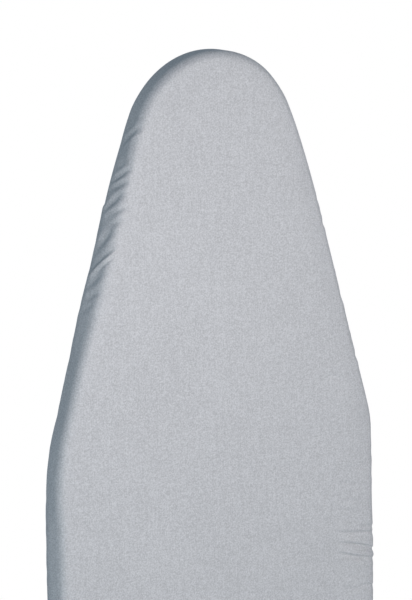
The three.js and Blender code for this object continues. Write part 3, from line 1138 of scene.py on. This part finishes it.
def build_pocket(edge):
    ys = pocket_rows()
    panel = add_piece(pocket_panel(edge, ys), "cover", "nose_pocket")
    low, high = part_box("pocket_hem_tape")
    tape_ys = np.linspace(low.y, high.y, BINDING_ROWS)
    tape = add_piece(pocket_binding(edge, tape_ys, low, high), "cover", "pocket_hem_tape")
    lines = add_piece(pocket_stitching(edge, tape_ys, low, high), "cover")


# Straps

def rounded(x, start, end, half_width):
    """Half width along a strap piece whose end is rounded at both corners."""
    past = np.clip(np.abs(x - start) - (abs(end - start) - STRAP_END_RADIUS), 0, STRAP_END_RADIUS)
    return half_width - STRAP_END_RADIUS + np.sqrt(STRAP_END_RADIUS**2 - past**2)


def strap_rows(start, end, spacing):
    """Places along a strap piece, closer together in its rounded end."""
    bend = end - math.copysign(STRAP_END_RADIUS, end - start)
    straight = np.linspace(start, bend, max(3, round(abs(bend - start) / spacing)), endpoint=False)
    turn = np.linspace(0, math.pi / 2, STRAP_END_ROWS)
    return np.concatenate([straight, bend + (end - bend) * np.sin(turn)])


def lay_flat(made):
    """Keeps each point's flat place on a band, so that the band's weave bends with it."""
    corners = np.empty(len(made.data.loops), int)
    places = np.empty(len(made.data.vertices) * 3)
    made.data.loops.foreach_get("vertex_index", corners)
    made.data.vertices.foreach_get("co", places)
    flat = made.data.uv_layers.new(name="flat")
    flat.data.foreach_set("uv", places.reshape(-1, 3)[corners, :2].ravel())


def ribbon(name, x, y, z, half_width, thickness, mesh, material, seed=0):
    """A woven band along x, with selvedges thinned to an edge. Its underside may be rough."""
    share = np.sin(np.linspace(-math.pi / 2, math.pi / 2, mesh.columns))
    half = thickness / 2 * np.sqrt(1 - np.abs(share) ** SELVEDGE_POWER)
    chance = np.random.default_rng(seed)
    tufts = mesh.rough * chance.uniform(-1, 1, (len(x), mesh.columns)) * (half > 0)
    across = y + share * half_width[:, None]
    along = np.broadcast_to(x[:, None], across.shape)
    low = np.stack([along, across, z[:, None] - half + tufts], -1)
    high = np.stack([along, across, z[:, None] + half], -1)
    points = np.concatenate([low, high[:, -2:0:-1]], 1)
    made = mesh_object(name, points, tube_faces(*points.shape[:2]), material)
    clean(made, outward=True)
    lay_flat(made)
    return made


def add_tape(strap, kind, body, material, mesh=TAPE_MESH, turned=False):
    """A tape that fills its packed box, rounded at its right end, or at its left end if turned."""
    packed = f"{kind}_{strap.number}"
    low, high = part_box(packed)
    start, end = (high.x, low.x) if turned else (low.x, high.x)
    x = strap_rows(start, end, mesh.spacing)
    y = (low.y + high.y) / 2
    z = np.full(len(x), (low.z + high.z) / 2)
    half = rounded(x, start, end, (high.y - low.y) / 2)
    seed = LOOP_SEED + strap.number
    tape = ribbon(f"{strap.name}_{kind}", x, y, z, half, high.z - low.z, mesh, material, seed)
    add_piece(tape, body, packed)


def hook_field(name, low, high):
    """Rows of small bent hooks on the hook tape's upper face."""
    xs = np.arange(low.x + HOOK_MARGIN, high.x - HOOK_MARGIN, HOOK_PITCH)
    ys = np.arange(low.y + HOOK_MARGIN, high.y - HOOK_MARGIN, HOOK_PITCH)
    x, y = np.meshgrid(xs, ys)
    feet = np.stack([x.ravel(), y.ravel(), np.full(x.size, high.z - HOOK_SINK)], -1)
    across, along = direction(np.linspace(0, 2 * math.pi, HOOK_SIDES, endpoint=False)).T
    rings = []
    for radius, lean, up in HOOK_RINGS:
        rings.append(np.stack([radius * across, lean + radius * along, np.full(HOOK_SIDES, up)], -1))
    points = feet[:, None, None, :] + np.array(rings)
    faces = tube_faces(len(rings), HOOK_SIDES)
    return mesh_object(name, points, copied_faces(faces, len(rings) * HOOK_SIDES, len(feet)), HOOKS)


Strap = namedtuple("Strap", "number name anchor band hook loop y half_width thickness lap_height")


def strap_sizes(number):
    """A strap's packed boxes, and the sizes and heights that follow from them."""
    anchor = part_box(f"strap_anchor_{number}")
    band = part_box(f"strap_band_{number}")
    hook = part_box(f"hook_tape_{number}")
    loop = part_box(f"loop_tape_{number}")
    y = (band[0].y + band[1].y) / 2
    half_width = (band[1].y - band[0].y) / 2
    thickness = hook[0].z - band[0].z
    lap_height = anchor[0].z - LAP_GAP - thickness / 2
    return Strap(number, f"strap_{number}", anchor, band, hook, loop, y, half_width, thickness, lap_height)


def build_anchor(strap):
    low, high = strap.anchor
    x = np.linspace(low.x, high.x, ANCHOR_ROWS)
    z = np.full(ANCHOR_ROWS, (low.z + high.z) / 2)
    half = np.full(ANCHOR_ROWS, strap.half_width)
    anchor = ribbon(f"{strap.name}_anchor", x, strap.y, z, half, high.z - low.z, TAPE_MESH, WEBBING)
    add_piece(anchor, "cover", f"strap_anchor_{strap.number}")


def band_heights(strap, x):
    """Heights of a band's centre line: lapped under its anchor, then easing down to its hook tape."""
    slope_start = strap.anchor[1].x
    slope_end = strap.hook[0].x - DIP_MARGIN
    share = (x - slope_start) / (slope_end - slope_start)
    eased = smooth(EASE_FROM + (EASE_TO - EASE_FROM) * share)
    slope = np.clip((eased - smooth(EASE_FROM)) / (smooth(EASE_TO) - smooth(EASE_FROM)), 0, 1)
    drop = strap.band[0].z + strap.thickness / 2 - strap.lap_height
    waves = 1 + np.sin(x * 2 * math.pi / BAND_WAVE + strap.number)
    return strap.lap_height + slope * drop + BAND_SAG * np.sin(math.pi * slope) * waves


def build_band(strap):
    low, high = strap.band
    x = strap_rows(low.x - LAP, high.x, BAND_MESH.spacing)
    z = band_heights(strap, x)
    half = rounded(x, x[0], x[-1], strap.half_width)
    band = ribbon(f"{strap.name}_band", x, strap.y, z, half, strap.thickness, BAND_MESH, WEBBING)
    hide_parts(f"strap_band_{strap.number}")
    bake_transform(band)


def build_fasteners(strap):
    add_tape(strap, "hook_tape", strap.name, HOOKS)
    add_piece(hook_field(f"{strap.name}_hooks", *strap.hook), strap.name)
    add_tape(strap, "loop_tape", "cover", LOOPS, LOOP_MESH)
    add_tape(strap, "loop_tab", "cover", WEBBING, turned=True)


def box_seam(left, right, near, far, z, first=0):
    """A closed rectangle of stitching that starts at one of its corners."""
    corners = [(left, near, z), (right, near, z), (right, far, z), (left, far, z)]
    return corners[first:] + corners[:first + 1]


def tape_seam(low, high, z):
    inset = STRAP_SEAM_INSET
    return box_seam(low.x + inset, high.x - inset, low.y + inset, high.y - inset, z)


def lap_seam(strap):
    end = strap.band[0].x - STRAP_SEAM_INSET
    start = strap.band[0].x - LAP + STRAP_SEAM_INSET
    reach = strap.half_width - LAP_SEAM_MARGIN
    z = strap.lap_height - strap.thickness / 2
    return box_seam(start, end, strap.y - reach, strap.y + reach, z, first=1)


def build_strap_stitching(strap):
    fixed_seams = [lap_seam(strap), tape_seam(*strap.loop, strap.loop[0].z)]
    fixed = stitch_rows(f"{strap.name}_anchor_stitching", fixed_seams)
    add_piece(fixed, "cover")
    free_seam = tape_seam(*strap.hook, strap.band[0].z + BAND_STITCH_LIFT)
    free = stitch_rows(f"{strap.name}_band_stitching", [free_seam])
    add_piece(free, strap.name)


def build_strap(number):
    strap = strap_sizes(number)
    build_anchor(strap)
    build_band(strap)
    build_fasteners(strap)
    build_strap_stitching(strap)


# Stage

def make_camera():
    data = bpy.data.cameras.new("camera")
    data.lens = CAMERA_LENS
    data.sensor_width = SENSOR_WIDTH
    camera = bpy.data.objects.new("camera", data)
    back = -CAMERA_FORWARD.normalized()
    right = CAMERA_UP.cross(back).normalized()
    up = back.cross(right)
    turn = Matrix((right, up, back)).transposed()
    camera.matrix_world = Matrix.Translation(CAMERA_PLACE) @ turn.to_4x4()
    bpy.context.scene.collection.objects.link(camera)
    bpy.context.scene.camera = camera


def make_floor():
    """A white floor, well below the straps' reach. It lets a view from below through."""
    half = FLOOR_SIZE / 2
    corners = [(x * half, y * half, FLOOR_LEVEL) for x, y in ((-1, -1), (1, -1), (1, 1), (-1, 1))]
    material = bpy.data.materials.new("floor")
    material.use_nodes = True
    tree = material.node_tree
    tree.nodes.clear()
    white = node(tree, "ShaderNodeEmission", {"Color": WHITE, "Strength": 1.0}).outputs[0]
    clear = node(tree, "ShaderNodeBsdfTransparent").outputs[0]
    behind = node(tree, "ShaderNodeNewGeometry").outputs["Backfacing"]
    either = node(tree, "ShaderNodeMixShader", {0: behind, 1: white, 2: clear}).outputs[0]
    node(tree, "ShaderNodeOutputMaterial", {"Surface": either})
    floor = mesh_object("floor", corners, [(0, 1, 2, 3)], material)
    floor.visible_diffuse = False
    floor.visible_glossy = False
    floor.visible_shadow = False


def make_world():
    """White behind the object. As light it is dim and bluish."""
    world = bpy.data.worlds.new("studio")
    bpy.context.scene.world = world
    world.use_nodes = True
    tree = world.node_tree
    tree.nodes.clear()
    light = node(tree, "ShaderNodeBackground", {"Color": WORLD_COLOUR, "Strength": 1.0}).outputs[0]
    white = node(tree, "ShaderNodeBackground", {"Color": WHITE, "Strength": 1.0}).outputs[0]
    seen = node(tree, "ShaderNodeLightPath").outputs["Is Camera Ray"]
    either = node(tree, "ShaderNodeMixShader", {0: seen, 1: light, 2: white}).outputs[0]
    node(tree, "ShaderNodeOutputWorld", {"Surface": either})


def make_light(light):
    data = bpy.data.lights.new(light.name, "AREA")
    data.shape = "DISK"
    data.size = light.size
    data.energy = light.power
    data.color = light.colour
    made = bpy.data.objects.new(light.name, data)
    made.location = light.place
    aim = Vector(light.target) - Vector(light.place)
    made.rotation_euler = aim.to_track_quat("-Z", "Y").to_euler()
    bpy.context.scene.collection.objects.link(made)


make_camera()
make_floor()
make_world()
for light in LIGHTS:
    make_light(light)
bpy.context.scene.view_settings.view_transform = "Standard"

hem_edge = edge_stations(HEM_SPACING, HEM_SPACING, HEM_SPACING)
pad_edge = edge_stations(PAD_SPACING, PAD_SPACING, PAD_SPACING)
hem_pieces = build_hem(hem_edge)
build_cover(edge_stations(FRONT_SPACING, TAB_SPACING, REAR_SPACING))
build_foam(pad_edge)
build_felt(pad_edge)
build_pocket(hem_edge)
for number in STRAP_NUMBERS:
    build_strap(number)
